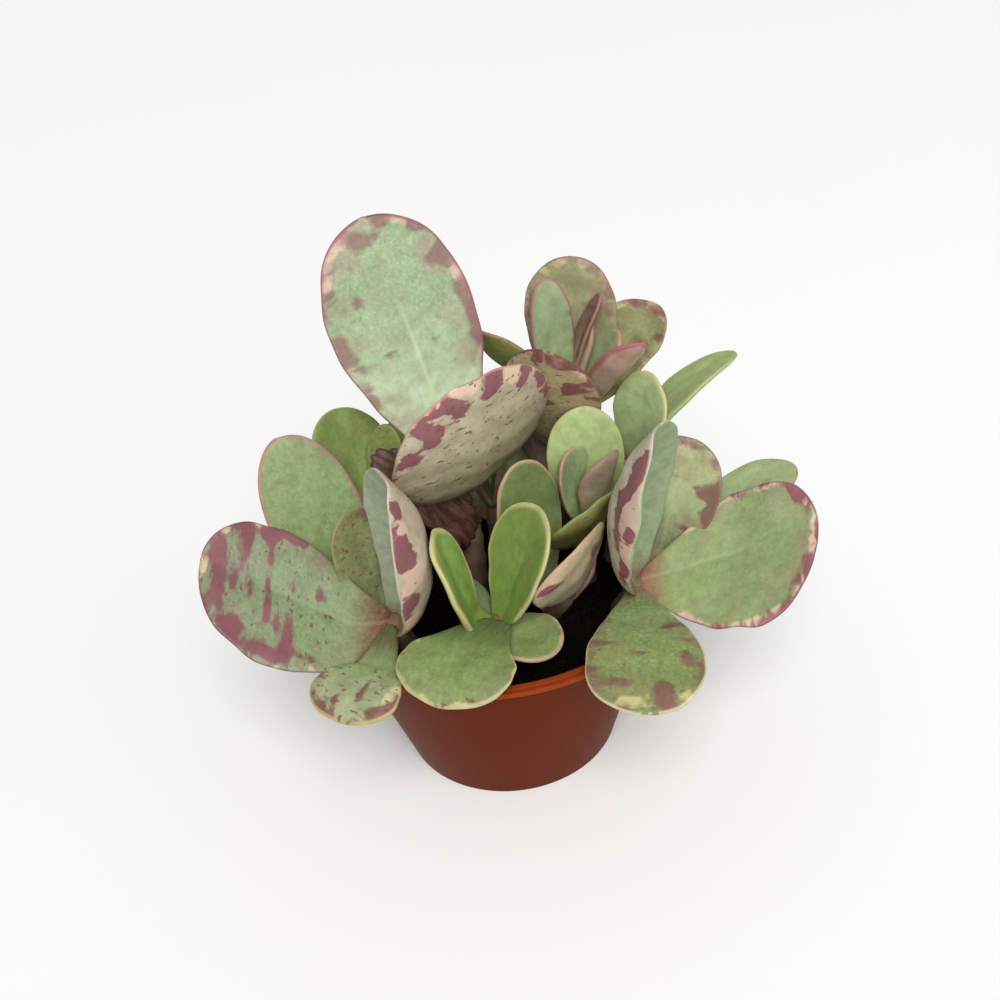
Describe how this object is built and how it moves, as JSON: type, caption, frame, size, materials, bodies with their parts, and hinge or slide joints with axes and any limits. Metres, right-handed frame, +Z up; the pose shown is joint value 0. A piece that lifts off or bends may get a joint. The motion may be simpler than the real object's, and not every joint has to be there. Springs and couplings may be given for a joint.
{
  "type": "potted kalanchoe",
  "caption": "Young kalanchoe with fleshy obovate leaves, mottled purple, growing in a round tapered plastic nursery pot filled with soil.",
  "frame": {"origin": "centre of the pot's underside, on the surface that it stands on", "axes": "+Z up out of the pot, -Y towards the front as pictured, +X to the right"},
  "size_m": [0.1659, 0.1424, 0.159],
  "materials": {
    "pot": "smooth moulded terracotta coloured plastic",
    "soil": "loose moist dark potting compost",
    "leaf": "waxy fleshy leaf, soft satin, with purple blotches"
  },
  "bodies": {
    "root": {"pot": "pot", "potting_soil": "soil", "shoot_tall": "leaf", "shoot_back_right": "leaf", "shoot_middle": "leaf", "shoot_far_right": "leaf", "shoot_right": "leaf", "shoot_left": "leaf", "shoot_front": "leaf", "shoot_front_right": "leaf", "shoot_back_left": "leaf", "shoot_back": "leaf", "shoot_rear_left": "leaf"}
  },
  "joints": []
}
